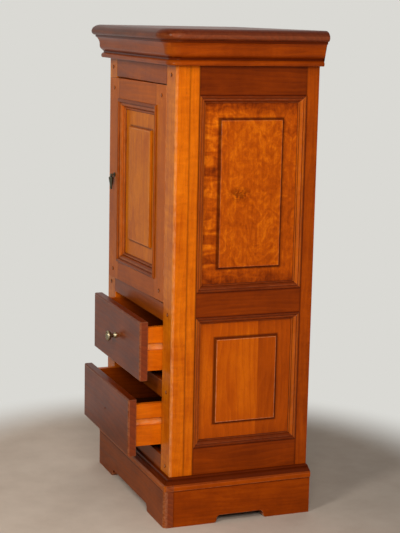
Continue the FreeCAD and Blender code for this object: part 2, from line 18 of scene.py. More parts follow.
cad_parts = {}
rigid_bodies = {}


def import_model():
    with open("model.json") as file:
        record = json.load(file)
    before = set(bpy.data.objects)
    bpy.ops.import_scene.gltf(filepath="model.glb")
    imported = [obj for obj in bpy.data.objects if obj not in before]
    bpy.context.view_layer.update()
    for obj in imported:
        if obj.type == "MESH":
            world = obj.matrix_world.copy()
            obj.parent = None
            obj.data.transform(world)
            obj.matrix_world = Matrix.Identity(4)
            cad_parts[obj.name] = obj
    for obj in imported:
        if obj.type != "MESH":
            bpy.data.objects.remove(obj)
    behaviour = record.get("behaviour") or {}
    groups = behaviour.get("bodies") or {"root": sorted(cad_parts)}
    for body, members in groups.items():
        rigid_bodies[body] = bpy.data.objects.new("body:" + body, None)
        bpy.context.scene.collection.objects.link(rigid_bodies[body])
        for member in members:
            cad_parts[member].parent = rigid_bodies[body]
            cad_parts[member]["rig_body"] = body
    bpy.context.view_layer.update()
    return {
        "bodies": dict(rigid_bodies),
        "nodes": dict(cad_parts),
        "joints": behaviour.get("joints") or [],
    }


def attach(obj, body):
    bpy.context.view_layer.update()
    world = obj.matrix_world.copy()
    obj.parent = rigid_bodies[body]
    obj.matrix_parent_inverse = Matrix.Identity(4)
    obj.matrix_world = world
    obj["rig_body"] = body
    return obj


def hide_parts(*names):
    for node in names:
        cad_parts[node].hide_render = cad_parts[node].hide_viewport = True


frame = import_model()
MM = 0.001

# %% [markdown]
# The camera stands where the photograph was taken: off the right front corner, a little above the top,
# looking slightly down, with a long lens so that the upright lines hardly converge. Its place and turn
# were found by matching edges of the case. Blender's camera looks along its own -Z with +Y up, so the
# three axes of the view become the columns of its matrix.

# %% Camera
CAMERA_AT = Vector((3.28734, -1.25218, 1.23464))
AZIMUTH = math.radians(68.7718)
PITCH = math.radians(10.3268)
ROLL = math.radians(1.2070)
FOCAL_PX = 1389.36
FRAME_H_PX = 533
SENSOR_MM = 36.0

ahead = Vector((-math.sin(AZIMUTH) * math.cos(PITCH), math.cos(AZIMUTH) * math.cos(PITCH), -math.sin(PITCH)))
level = Vector((math.cos(AZIMUTH), math.sin(AZIMUTH), 0))
above = level.cross(ahead)
aside = math.cos(ROLL) * level + math.sin(ROLL) * above
upward = math.cos(ROLL) * above - math.sin(ROLL) * level
lens = bpy.data.cameras.new("photo_camera")
lens.sensor_width = SENSOR_MM
lens.lens = FOCAL_PX / FRAME_H_PX * SENSOR_MM
camera = bpy.data.objects.new("photo_camera", lens)
bpy.context.scene.collection.objects.link(camera)
turn = Matrix((aside, upward, -ahead)).transposed().to_4x4()
camera.matrix_world = Matrix.Translation(CAMERA_AT) @ turn
bpy.context.scene.camera = camera
bpy.context.scene.view_settings.view_transform = "Standard"
print("lens", round(lens.lens, 2), "mm at", tuple(round(v, 3) for v in CAMERA_AT))

# %% [markdown]
# Colours are written as the hex values one would pick from a swatch, and one function turns them to the
# linear values that shaders use. A material is a graph of nodes, and writing each node out takes many
# lines, so one small function adds a node, sets what it is given and links the inputs that are sockets. A
# colour ramp also takes its row of stops there, each a place and a hex colour.

# %% Colours and nodes
def linear(hex_colour):
    """Linear RGBA of an sRGB hex colour."""
    parts = [int(hex_colour[i:i + 2], 16) / 255 for i in (1, 3, 5)]
    return tuple(c / 12.92 if c <= 0.04045 else ((c + 0.055) / 1.055) ** 2.4 for c in parts) + (1.0,)


def add(tree, kind, inputs, out=None, stops=(), **settings):
    """A new node's output: inputs are linked where they are sockets and set where they are values."""
    node = tree.nodes.new("ShaderNode" + kind)
    for name, value in settings.items():
        setattr(node, name, value)
    for name, value in inputs.items():
        if isinstance(value, bpy.types.NodeSocket):
            tree.links.new(value, node.inputs[name])
        else:
            node.inputs[name].default_value = value
    for i, (at, hex_colour) in enumerate(stops):
        stop = node.color_ramp.elements[i] if i < 2 else node.color_ramp.elements.new(at)
        stop.position = at
        stop.color = linear(hex_colour)
    return node.outputs[out] if out else next(s for s in node.outputs if s.enabled)


def new_material(name, **values):
    """An empty material with plain values on its Principled shader."""
    material = bpy.data.materials.new(name)
    material.use_nodes = True
    shader = material.node_tree.nodes["Principled BSDF"]
    for socket, value in values.items():
        shader.inputs[socket.replace("_", " ")].default_value = value
    return material, material.node_tree, shader


print("linear #808080 is", round(linear("#808080")[0], 3))

# %% [markdown]
# The cupboard stands on a plain beige floor of matt screed, with a painted shade that darkens it towards the
# back. It has to look right from every side, so the floor is one wide disc that turns as pale as the air
# around it a step away. That far part glows, but only for the eye: Light Path tells apart the rays that come
# from the camera, or by way of a mirror or a glass, and all other light still meets a matt floor that keeps
# the shadow.

# %% Floor
FLOOR_R = 7.0
FLOOR_T = 0.05
CLOUDS_PER_M = 9.0
PALE_AIR = "#DAD9D4"
# The painted shade on the floor: its tint, and where along Y it begins and where it is full.
FLOOR_SHADE_TINT = "#CDCED0"
FLOOR_SHADE_FROM = -0.3
FLOOR_SHADE_FULL = 0.6
FADES_FROM = 0.62
FADES_TO = 0.98


def seen(tree):
    """One for a ray from the eye, straight or by a reflection or through glass, and nought for others."""
    path = add(tree, "LightPath", {}, "Is Camera Ray").node
    direct = add(tree, "Math", {0: path.outputs["Is Camera Ray"], 1: path.outputs["Is Glossy Ray"]},
                 operation="MAXIMUM")
    return add(tree, "Math", {0: direct, 1: path.outputs["Is Transmission Ray"]}, operation="MAXIMUM")


bpy.ops.object.select_all(action="DESELECT")
bpy.ops.mesh.primitive_circle_add(vertices=96, radius=FLOOR_R, fill_type="NGON", location=(0, 0, -FLOOR_T))
floor = bpy.context.object
floor.name = "studio_floor"
bpy.ops.object.mode_set(mode="EDIT")
bpy.ops.mesh.extrude_region_move(TRANSFORM_OT_translate={"value": (0, 0, FLOOR_T)})
bpy.ops.object.mode_set(mode="OBJECT")
bpy.ops.object.transform_apply(location=True)

paint, tree, shader = new_material("floor_matt_cement_screed", Roughness=0.85)
place = add(tree, "TexCoord", {}, "Object")
cloud = add(tree, "TexNoise", {"Vector": place, "Scale": CLOUDS_PER_M, "Detail": 6.0, "Roughness": 0.6})
tint = add(tree, "Mix", {0: cloud, 6: linear("#BBA793"), 7: linear("#DBC9B5")}, data_type="RGBA")
# Painted shade: the floor is multiplied darker and a little bluer towards the back.
back = add(tree, "SeparateXYZ", {0: place}, "Y")
floor_shade = add(tree, "MapRange", {"Value": back, "From Min": FLOOR_SHADE_FROM, "From Max": FLOOR_SHADE_FULL},
             interpolation_type="SMOOTHSTEP")
tint = add(tree, "Mix", {0: floor_shade, 6: tint, 7: linear(FLOOR_SHADE_TINT)}, data_type="RGBA", blend_type="MULTIPLY")
tree.links.new(tint, shader.inputs["Base Color"])
away = add(tree, "VectorMath", {0: place}, "Value", operation="LENGTH")
faded = add(tree, "MapRange", {"Value": away, "From Min": FADES_FROM, "From Max": FADES_TO},
            interpolation_type="SMOOTHSTEP")
glow = add(tree, "Emission", {"Color": linear(PALE_AIR), "Strength": 1.0})
share = add(tree, "Math", {0: faded, 1: seen(tree)}, operation="MULTIPLY")
surface = add(tree, "MixShader", {0: share, 1: shader.outputs["BSDF"], 2: glow})
tree.links.new(surface, tree.nodes["Material Output"].inputs["Surface"])
floor.data.materials.append(paint)
print("floor", len(floor.data.polygons), "faces")

# %% [markdown]
# The light comes from a tall softbox in front of the cupboard, on the left of the camera: it rakes along
# the panelled side, so that one flank of each moulding is bright and the other dark, and fades towards
# the rear post. A second lamp by the camera lifts that side, a weak one behind keeps the other side and
# the back from going dull, and an even grey air fills the rest. The rear lamp would lie as a white streak
# on the waxed top, so it lights the wood but isn't mirrored in it.

# %% Light
AIR_LIGHT = 0.32


def soft_lamp(name, at, aim, width, height, watts, mirrored=True):
    """An area lamp turned to a point: it isn't seen itself, and mirrored says whether gloss shows it."""
    lamp = bpy.data.lights.new(name, "AREA")
    lamp.shape = "RECTANGLE"
    lamp.size = width
    lamp.size_y = height
    lamp.energy = watts
    holder = bpy.data.objects.new(name, lamp)
    holder.location = at
    holder.rotation_euler = (Vector(aim) - Vector(at)).to_track_quat("-Z", "Y").to_euler()
    holder.visible_camera = False
    holder.visible_glossy = mirrored
    bpy.context.scene.collection.objects.link(holder)


soft_lamp("front_softbox", at=(1.5, -2.1, 1.9), aim=(0.15, -0.05, 0.6), width=0.5, height=1.0, watts=36)
soft_lamp("camera_fill", at=(2.5, -0.8, 1.55), aim=(0.2, 0, 0.6), width=0.9, height=0.7, watts=35)
soft_lamp("rear_fill", at=(-2.2, 1.7, 0.8), aim=(0, 0, 0.7), width=1.4, height=1.2, watts=22, mirrored=False)
world = bpy.data.worlds.new("studio_air")
world.use_nodes = True
tree = world.node_tree
air = add(tree, "Background", {"Color": linear("#D8DADC"), "Strength": AIR_LIGHT})
backdrop = add(tree, "Background", {"Color": linear(PALE_AIR), "Strength": 1.0})
both = add(tree, "MixShader", {0: seen(tree), 1: air, 2: backdrop})
tree.links.new(both, tree.nodes["World Output"].inputs["Surface"])
bpy.context.scene.world = world
print("lamps", sum(o.type == "LIGHT" for o in bpy.data.objects))

# %% [markdown]
# Cherry is a fine, close-grained wood: rings that show as soft arches on flat boards, thin streaks along
# the grain, silky cross ripples and mottled clouds here and there, and small dark pores. The grain has to
# run along each board, so the shader reads an attribute called sawn, the place in the log that each point
# was sawn from, with the log along Z. Rings are a wave texture round that axis, and the rest is noise
# stretched along it. Real pores and fibres are too fine to show in the render, so they are drawn just as
# coarse as they need to be. One small gnarled knot sits in the upper panel on the right.

# %% Grain
RING_MM = 14.0
RING_SWING = 0.09
KNOT_SIZE = Vector((60, 34, 22)) * MM
KNOT_AHEAD = Vector((0, 27, 0)) * MM
# Each pattern has its size across and along the grain in mm, its detail and its distortion.
PATTERNS = (
    ("bend", 110, 420, 1.0, 0.0), ("streak", 7, 170, 3.0, 0.0), ("fibre", 1.6, 30, 2.0, 0.0),
    ("ripple", 48, 17, 2.5, 0.7), ("patch", 90, 150, 1.0, 0.0), ("stain", 60, 110, 3.0, 0.0),
    ("cloud", 30, 38, 5.0, 2.4), ("speck", 6, 8, 2.0, 1.5), ("pores", 0.9, 9, 1.0, 0.0),
    ("chip", 5, 14, 3.0, 0.0),
)


def extent(points):
    """The lowest and the highest corner of the box round some points."""
    return [Vector([pick(p[i] for p in points) for i in range(3)]) for pick in (min, max)]


low, high = extent([vert.co for vert in frame["nodes"]["side_upper_panel_right"].data.vertices])
KNOT = (low + high) / 2 - KNOT_AHEAD


def patterns_in(tree, sawn):
    """The grain's patterns, by name."""
    noise = {}
    for key, across, along, detail, twist in PATTERNS:
        scale = (1 / across / MM, 1 / across / MM, 1 / along / MM)
        scaled = add(tree, "VectorMath", {0: sawn, 1: scale}, operation="MULTIPLY")
        noise[key] = add(tree, "TexNoise", {"Vector": scaled, "Scale": 1.0, "Detail": detail,
                                            "Distortion": twist})
    return noise


def rings_in(tree, sawn, bend):
    """Year rings round the log's axis, pushed aside by a slow noise."""
    swing = add(tree, "VectorMath", {0: bend.node.outputs["Color"], 1: (RING_SWING, RING_SWING, 0)},
                operation="MULTIPLY")
    bent = add(tree, "VectorMath", {0: sawn, 1: swing}, operation="ADD")
    return add(tree, "TexWave", {"Vector": bent, "Scale": math.pi / 10 / RING_MM / MM, "Distortion": 2.5,
                                 "Detail": 2.0, "Detail Scale": 0.6}, "Fac",
               wave_type="RINGS", rings_direction="Z", wave_profile="SAW")


def knot_in(tree):
    """How dark the knot is: crooked patches that end at its rim."""
    place = add(tree, "VectorMath", {0: add(tree, "TexCoord", {}, "Object"), 1: KNOT}, operation="SUBTRACT")
    place = add(tree, "VectorMath", {0: place, 1: KNOT_SIZE}, operation="DIVIDE")
    away = add(tree, "VectorMath", {0: place}, "Value", operation="LENGTH")
    beside = add(tree, "MapRange", {"Value": away, "From Min": 1.0, "From Max": 0.4})
    gnarl = add(tree, "TexNoise", {"Vector": place, "Scale": 2.4, "Detail": 4.0, "Distortion": 1.5})
    gnarl = add(tree, "MapRange", {"Value": gnarl, "From Min": 0.42, "From Max": 0.52})
    return add(tree, "Math", {0: beside, 1: gnarl}, operation="MULTIPLY")


print("patterns", [pattern[0] for pattern in PATTERNS], "and a knot at", [round(v, 3) for v in KNOT])

# %% [markdown]
# This cupboard's cherry was stained a strong orange and waxed to a satin gloss. Each pattern moves the shade
# up or down a row of stain colours, round the tone that the board was given, and the front is painted
# greyer, partly as daylight fading and partly as a painted sheen. Over that come the pores and the knot, and
# then end grain, pale rubbed edges that also carry a painted highlight, and a dark brown: old wax in the
# joints, wax and painted shade in dips and on ledges, and painted shade elsewhere, where the attributes say
# so. The wax is a thin glossy coat, and the wood's own gloss under it is tinted amber.

# %% Stained cherry
FELT = ("tone", "figure", "mottle", "rubbed", "hollow", "end", "faded")
# The front's daylight fading and painted sheen multiply red, green and blue.
FRONT_SHEEN_AND_FADING = (0.92, 1.24, 1.6, 1)
DARKEST_BROWN = "#400A00"
END_GRAIN = "#7A3A22"
POLISH_HIGHLIGHT_COLOUR = "#E6A878"
FULL_POLISH_HIGHLIGHT = 1.6
AMBER = "#FFC080"
SATIN = (0.24, 0.42)
RELIEF = 0.25 * MM


def shade_of(tree, felt, noise, rings):
    """A board's tone, moved by each pattern with its weight, some only where an attribute says so."""
    shade = felt["tone"]
    for pattern, weight, where in (
        (rings, 0.05, None), (rings, 0.2, "end"), (noise["streak"], 0.16, None),
        (noise["fibre"], 0.07, None), (noise["stain"], 0.28, None), (noise["ripple"], 0.95, "figure"),
        (noise["cloud"], 0.5, "mottle"), (noise["speck"], 0.2, "mottle"),
    ):
        swing = add(tree, "Math", {0: pattern, 1: 0.5}, operation="SUBTRACT")
        if where:
            swing = add(tree, "Math", {0: swing, 1: felt[where]}, operation="MULTIPLY")
        shade = add(tree, "Math", {0: swing, 1: weight, 2: shade}, operation="MULTIPLY_ADD")
    return shade


def stained_wood(name, shades, pore):
    """Waxed wood whose grain follows the sawn attribute, from the darkest shade to the lightest."""
    material, tree, shader = new_material(name, Specular_IOR_Level=0.06, Specular_Tint=linear(AMBER),
                                          Coat_Weight=0.07, Coat_Roughness=0.07)
    sawn = add(tree, "Attribute", {}, "Vector", attribute_name="sawn")
    felt = {key: add(tree, "Attribute", {}, "Fac", attribute_name=key) for key in FELT}
    noise = patterns_in(tree, sawn)
    rings = rings_in(tree, sawn, noise["bend"])
    colour = add(tree, "ValToRGB", {"Fac": shade_of(tree, felt, noise, rings)}, stops=shades)
    # Painted sheen, partly daylight fading: faces that look to the front are multiplied greyer.
    colour = add(tree, "Mix", {0: felt["faded"], 6: colour, 7: FRONT_SHEEN_AND_FADING}, data_type="RGBA",
                 blend_type="MULTIPLY")
    # Pale polish that also paints highlights, broken up by chips.
    uneven = add(tree, "MapRange", {"Value": noise["chip"], "From Min": 0.4, "From Max": 0.65, "To Min": 0.4,
                                    "To Max": FULL_POLISH_HIGHLIGHT})
    edge_marks = add(tree, "Math", {0: felt["rubbed"], 1: uneven}, operation="MULTIPLY")
    # Then pores, knot, end grain, pale polish with a painted highlight, and the dark brown of wax in joints
    # and painted shade elsewhere.
    for amount, limits, hex_colour, most in (
        (noise["pores"], (0.62, 0.75), pore, 0.35), (knot_in(tree), (0, 1), DARKEST_BROWN, 0.6),
        (felt["end"], (0, 1), END_GRAIN, 0.7), (edge_marks, (0, FULL_POLISH_HIGHLIGHT), POLISH_HIGHLIGHT_COLOUR, 0.46),
        (felt["hollow"], (0, 1), DARKEST_BROWN, 0.85),
    ):
        share = add(tree, "MapRange", {"Value": amount, "From Min": limits[0], "From Max": limits[1],
                                       "To Max": most})
        colour = add(tree, "Mix", {0: share, 6: colour, 7: linear(hex_colour)}, data_type="RGBA")
    tree.links.new(colour, shader.inputs["Base Color"])
    rough = add(tree, "MapRange", {"Value": noise["streak"], "To Min": SATIN[0], "To Max": SATIN[1]})
    tree.links.new(rough, shader.inputs["Roughness"])
    relief = add(tree, "Math", {0: noise["fibre"], 1: 0.25, 2: noise["patch"]}, operation="MULTIPLY_ADD")
    tree.links.new(add(tree, "Bump", {"Strength": 1.0, "Distance": RELIEF, "Height": relief}),
                   shader.inputs["Normal"])
    return material


CHERRY_SHADES = ((0.0, "#2E0C02"), (1.0, "#F08E1E"), (0.2, "#662203"), (0.4, "#8E3603"), (0.6, "#B64D04"),
                 (0.8, "#DE6E08"))
POPLAR_SHADES = ((0.0, "#361608"), (1.0, "#C2925A"), (0.5, "#8A5626"))
FINISHES = {
    "cherry": stained_wood("cherry_stained_and_waxed", CHERRY_SHADES, "#5A2408"),
    "drawer_wood": stained_wood("cherry_sawn_and_thinly_waxed", CHERRY_SHADES, "#7A3A10"),
    "secondary_wood": stained_wood("poplar_planed_and_stained", POPLAR_SHADES, "#553316"),
}
print("woods", [m.name for m in FINISHES.values()])

# %% [markdown]
# Three metals are left. The knob is turned brass: fingers keep its rim bright, and its neck and dish have
# gone brown. The door's pull is cast bronze with a dark, slightly greenish skin, and the pivot pins and the
# knob's screw are plain iron. All three are the same graph: a cloudy row of shades, darker in the hollows.

# %% Old metals
DULLER = 0.2
PITS = 0.1 * MM


def old_metal(name, shades, grain_mm, rough):
    """Metal with a cloudy skin, bright where it is rubbed and dark in its hollows."""
    material, tree, shader = new_material(name, Metallic=1.0)
    place = add(tree, "TexCoord", {}, "Object")
    skin = add(tree, "TexNoise", {"Vector": place, "Scale": 1 / grain_mm / MM, "Detail": 4.0})
    rubbed = add(tree, "Attribute", {}, "Fac", attribute_name="rubbed")
    hollow = add(tree, "Attribute", {}, "Fac", attribute_name="hollow")
    shade = add(tree, "Math", {0: rubbed, 1: 0.35, 2: skin}, operation="MULTIPLY_ADD")
    shade = add(tree, "Math", {0: hollow, 1: -0.5, 2: shade}, operation="MULTIPLY_ADD")
    tree.links.new(add(tree, "ValToRGB", {"Fac": shade}, stops=shades), shader.inputs["Base Color"])
    dull = add(tree, "MapRange", {"Value": shade, "From Min": 0.2, "From Max": 0.9,
                                  "To Min": rough + DULLER, "To Max": rough})
    tree.links.new(dull, shader.inputs["Roughness"])
    tree.links.new(add(tree, "Bump", {"Strength": 0.5, "Distance": PITS, "Height": skin}),
                   shader.inputs["Normal"])
    return material


FINISHES["brass"] = old_metal("brass_turned_and_handled", ((0.1, "#35281A"), (0.9, "#C4B490")), 3.0, 0.28)
FINISHES["bronze"] = old_metal("bronze_cast_and_darkened", ((0.1, "#1E1A14"), (0.9, "#6A6350")), 2.0, 0.4)
FINISHES["steel"] = old_metal("iron_drawn_and_browned", ((0.1, "#1C1613"), (0.9, "#5A5048")), 2.0, 0.5)
print("metals", [FINISHES[slot].name for slot in ("brass", "bronze", "steel")])

# %% [markdown]
# Where two boards meet, the gap is filled with old wax and reads as a thin dark line; where an arris is
# free, hands and dusters have rounded and rubbed it, and it carries a painted highlight. To tell the one
# from the other, a search tree is built of all boards of a body: an edge whose middle is near some other
# board lies in a joint.

# %% Joints between boards
NEAR = 1.1 * MM
WAX_AT_MOULDING = 0.95
WAX_AT_BOARD = 0.4


def trees_of_bodies():
    """For each body a search tree over all its nodes and the list of the node that each face is from."""
    trees = {}
    for body in frame["bodies"]:
        verts, faces, owners = [], [], []
        for name, node in frame["nodes"].items():
            if node["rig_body"] == body:
                faces += [[i + len(verts) for i in f.vertices] for f in node.data.polygons]
                owners += [name] * len(node.data.polygons)
                verts += [v.co.copy() for v in node.data.vertices]
        trees[body] = (BVHTree.FromPolygons(verts, faces), owners)
    return trees


TREES = trees_of_bodies()


def midway(edge):
    """The middle of an edge."""
    return (edge.verts[0].co + edge.verts[1].co) / 2


def neighbours(edge, node, body, reach):
    """The names of the other nodes of a body that lie within reach of an edge's middle."""
    tree, owners = TREES[body]
    return {owners[found[2]] for found in tree.find_nearest_range(midway(edge), reach)} - {node}


def seam(edge, node, body, reach=NEAR):
    """How dark the joint is that an edge lies in: nought where it is free, most beside a moulding."""
    near = neighbours(edge, node, body, reach)
    if not near:
        return 0.0
    moulded = any("moulding" in other or other == "top_board" for other in near | {node})
    return WAX_AT_MOULDING if moulded else WAX_AT_BOARD


print("bodies searched", list(TREES))

# %% [markdown]
# A board that leaves the bench never has knife-sharp edges: plane, sandpaper and years of hands ease
# them, and the line of light along each edge is most of what makes furniture look real. Before that can be
# done, the model's loose triangles have to be merged, but boards that touch must not be. So boards are first
# told apart: a board's triangles follow one another in the mesh, and it is complete when no edge lacks its
# neighbour. The lengths of the cornice are the exception: they were glued and sanded into one.

# %% Boards told apart
GLUED = 0.02 * MM


def boards_of(mesh):
    """The face numbers of each board in a CAD mesh."""
    place = [tuple(round(c / MM, 3) for c in vert.co) for vert in mesh.vertices]
    boards = []
    waiting = set()
    for face in mesh.polygons:
        if not waiting:
            boards.append([])
        boards[-1].append(face.index)
        ring = [place[i] for i in face.vertices]
        for a, b in zip(ring, ring[1:] + ring[:1]):
            if (b, a) in waiting:
                waiting.remove((b, a))
            else:
                waiting.add((a, b))
    return boards


def glue(bm):
    """Join the lengths of a moulding where they meet and drop the faces inside the joint."""
    bmesh.ops.remove_doubles(bm, verts=bm.verts, dist=GLUED)
    inside = [f for f in bm.faces if all(len(e.link_faces) > 2 for e in f.edges)]
    bmesh.ops.delete(bm, geom=inside, context="FACES")
    return len(inside)


print("boards in all", sum(len(boards_of(node.data)) for node in frame["nodes"].values()))

# %% [markdown]
# A raised panel is one board, or two glued side by side. Its broad margin is cut into parts here, so that
# each part can have its own shade: beyond the ends of the raised field, where painted shade with some dirt
# darkens it, on the two sides of a glue line, and in a strip along the field's foot, darkened by old wax and
# painted shade.

# %% Parts of a panel
CREASE = math.radians(40)
LEVEL = math.radians(0.2)
SLIGHT = 0.1 * MM
SNAP = 0.05 * MM
TOO_SHORT = 0.01 * MM
FOOT_STRIP = 5 * MM
GLUE_LINE = 0.69


def field_feet(bm):
    """The edges where a panel's raised field meets its margin."""
    return [e for e in bm.edges if len(e.link_faces) == 2 and e.calc_face_angle_signed(0) < -CREASE]


def slants(edge):
    """Whether an edge is neither upright nor level."""
    run = edge.verts[1].co - edge.verts[0].co
    return abs(run.z) > SLIGHT and run.to_2d().length > SLIGHT


def part_panel(bm, number, joined):
    """Part a panel's margin at its field's ends and, if it is joined of two boards, along their glue line;
    then part off a strip along the field's foot. Gives the field's height."""
    low, high = extent([vert.co for edge in field_feet(bm) for vert in edge.verts])
    glued_at = low + (high - low) * GLUE_LINE
    cuts = [(low, (0, 0, 1)), (high, (0, 0, 1))]
    if joined:
        cuts.append((glued_at, (0, 1, 0)))
    for at, across in cuts:
        everything = [*bm.verts, *bm.edges, *bm.faces]
        bmesh.ops.bisect_plane(bm, geom=everything, dist=SNAP, plane_co=at, plane_no=across)
    bmesh.ops.dissolve_degenerate(bm, dist=TOO_SHORT, edges=bm.edges)
    slanting = [e for e in bm.edges if e.calc_face_angle(1) < LEVEL and slants(e)]
    bmesh.ops.dissolve_edges(bm, edges=slanting)
    for face in bm.faces:
        if joined and face.calc_center_median().y > glued_at.y:
            face[number] += 1
    margin = dict.fromkeys(max(e.link_faces, key=lambda f: f.calc_area()) for e in field_feet(bm))
    # The strip along the field's foot is darkened by wax and painted shade.
    bmesh.ops.inset_region(bm, faces=list(margin), thickness=FOOT_STRIP, use_even_offset=True)
    return high.z - low.z


print("panels", [name for name in frame["nodes"] if "_panel" in name and name != "back_panel"])

# %% [markdown]
# Now each node is copied, its boards are merged and cleared of needless edges, and a narrow bevel rounds
# every arris, less so in a joint. What sets one kind of board apart from another, from its easing to its
# wear, is kept in one small record, with usual values for what is seldom set.

# %% Eased arrises
SAME_POINT = 0.002 * MM
FLAT = math.radians(0.3)
EDGE_STRIP = 4 * MM
BROAD = 22 * MM
IN_JOINT = 0.4
# Some fields carry painted light: a darker tone for level lengths, darkening of upward ledges, of a margin
# beyond its field and of an upper half, and the share of painted highlight on rubbed edges.
Kind = namedtuple("Kind", "names ease tone figure mottle lying ledge wall rub dusk joined waxed level",
                  defaults=(0.1, 0.1, 0.0, 0.0, 0.0, 1.0, 0.0, False, True, False))


def breadth(face):
    """About how wide a face is across its length."""
    return face.calc_area() / max(e.calc_length() for e in face.edges)


def level_beside(face):
    """Whether a face goes on in one plane past one of its edges."""
    return any(e.calc_face_angle(1) < LEVEL for e in face.edges)


def clean_boards(node, kind):
    """A mesh of a node's boards with weights on the edges to round, and its field's height."""
    source = frame["nodes"][node].data
    body = frame["nodes"][node]["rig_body"]
    bm = bmesh.new()
    bm.from_mesh(source)
    bm.faces.ensure_lookup_table()
    number = bm.faces.layers.int.new("board")
    boards = [[bm.faces[i] for i in board] for board in boards_of(source)]
    for index, board in enumerate(boards):
        for face in board:
            face[number] = index
    for board in boards:
        corners = dict.fromkeys(vert for face in board for vert in face.verts)
        bmesh.ops.remove_doubles(bm, verts=list(corners), dist=SAME_POINT)
    bmesh.ops.dissolve_limit(bm, angle_limit=FLAT, verts=bm.verts, edges=bm.edges)
    field_h = 0.0
    if node == "cornice":
        print(node, "glued at", glue(bm), "faces")
    if kind.wall:
        field_h = part_panel(bm, number, kind.joined)
    else:
        broad = [f for f in bm.faces if breadth(f) > BROAD and not level_beside(f)]
        bmesh.ops.inset_individual(bm, faces=broad, thickness=EDGE_STRIP, use_even_offset=True)
    rounder = bm.edges.layers.float.new("bevel_weight_edge")
    for edge in bm.edges:
        if len(edge.link_faces) == 2 and edge.calc_face_angle() > CREASE:
            edge[rounder] = IN_JOINT if seam(edge, node, body) else 1.0
    mesh = source.copy()
    bm.to_mesh(mesh)
    bm.free()
    return mesh, field_h


def eased(node, kind):
    """A copy of a node with rounded arrises, its material slot and its field's height."""
    mesh, field_h = clean_boards(node, kind)
    slot = mesh.materials[0].name
    mesh.materials.clear()
    mesh.materials.append(FINISHES[slot])
    piece = bpy.data.objects.new(node + "_eased", mesh)
    bpy.context.scene.collection.objects.link(piece)
    bpy.ops.object.select_all(action="DESELECT")
    bpy.context.view_layer.objects.active = piece
    piece.select_set(True)
    rounding = piece.modifiers.new("eased", "BEVEL")
    rounding.width = kind.ease * MM
    rounding.segments = 2
    rounding.limit_method = "WEIGHT"
    rounding.use_clamp_overlap = False
    bpy.ops.object.modifier_apply(modifier=rounding.name)
    return piece, slot, field_h


print("arrises in a joint are eased by", IN_JOINT, "of the rest")

# %% [markdown]
# A joint is dark with old wax, and a free arris is rubbed pale and carries a painted highlight. Bends tell
# the rest: a narrow face is darkened with wax and painted shade where the shape dips, and a little way
# beside it, and rubbed pale with a painted highlight where it rises. The outer bead of a moulding, next to
# its frame, is darkened as a whole with painted shade. On the cornice, whose corner faces are many and
# small, the
# darkening goes by height alone: wax and painted shade in its dips, and a painted shadow under the top
# board.

# %% Wear and painted light
FULL_RISE = math.radians(20)
FULL_DIP = math.radians(12)
LONG = 100 * MM
OVERHUNG = 6 * MM
# How dark a quirk and its surroundings are, with wax and painted shade, and how dark the outer bead is with
# painted shade.
QUIRK_DARK = 0.8
QUIRK_SPREAD = 2.2 * MM
BEAD = 5 * MM
BEAD_SHADE = 0.45
FRAMED = ("side_mouldings_left", "side_mouldings_right", "door_moulding")


def quirks_of(bm):
    """The middles of the long edges in which a shape dips."""
    return [midway(e) for e in bm.edges
            if e.calc_length() > LONG and e.calc_face_angle_signed(0) < -FULL_DIP]


def bead_shade(edge, node, body):
    """How much painted shade darkens the outer bead of a framed moulding: it is the part within reach of the
    frame's boards.
    """
    if node not in FRAMED:
        return 0.0
    return BEAD_SHADE * any("panel" not in other for other in neighbours(edge, node, body, BEAD))


def marks_of_edge(edge, node, body, quirks):
    """How far an edge is rubbed pale with a painted highlight, and how far it is darkened by wax and painted
    shade, from 0 to 1 each.
    """
    darkness = seam(edge, node, body)
    if darkness:
        return 0.0, darkness
    bend = edge.calc_face_angle_signed(0)
    nearest = min(((midway(edge) - at).length for at in quirks), default=QUIRK_SPREAD)
    # Wax and painted shade in dips and beside quirks, and painted shade on the outer bead.
    darkness = max(-bend / FULL_DIP, QUIRK_DARK * (1 - nearest / QUIRK_SPREAD), bead_shade(edge, node, body))
    return max(0.0, min(1.0, bend / FULL_RISE)), max(0.0, min(1.0, darkness))


def darkness_by_height(bm, node, body):
    """How dark a moulding that runs level is at the height of each of its long edges: wax and painted shade
    in its dips, and, near another board, joint wax and the painted shadow under an overhang.
    """
    darkness = {}
    for edge in bm.edges:
        height = edge.verts[0].co.z
        if edge.calc_length() > LONG and abs(edge.verts[1].co.z - height) < SLIGHT:
            # Near another board, as under the overhanging top board, the darkening is a painted shadow.
            darkened = 1.0 if edge.calc_face_angle_signed(0) < -FULL_DIP else seam(edge, node, body, OVERHUNG)
            darkness[height] = max(darkened, darkness.get(height, 0.0))
    return darkness


# The darkness beside a quirk is wax and painted shade.
print("wax spreads", round(QUIRK_SPREAD / MM, 1), "mm from a quirk")

# %% [markdown]
# Two kinds of board have marks of their own. In a panel, the walls of the field are waxed and its slopes
# rubbed pale with a painted highlight, the margin's ripple grows towards the front, and the margin darkens
# past the field's ends with painted shade and some dirt. A drawer's sides are left nearly bare: the runner
# has rubbed their grooves pale, and inside they are painted darker towards the back, as painted shade.

# %% Marks of panels and drawers
WALL_TILT = 0.95
SLOPE_TILT = 0.999
FIELD_FIGURE = 0.15
MARGIN_FIGURE = (0.5, 1.2, 0.1)
BROADSIDE = 0.9
GROOVE_TONE = 0.15
INSIDE_SHADE = (0.2, 0.5)


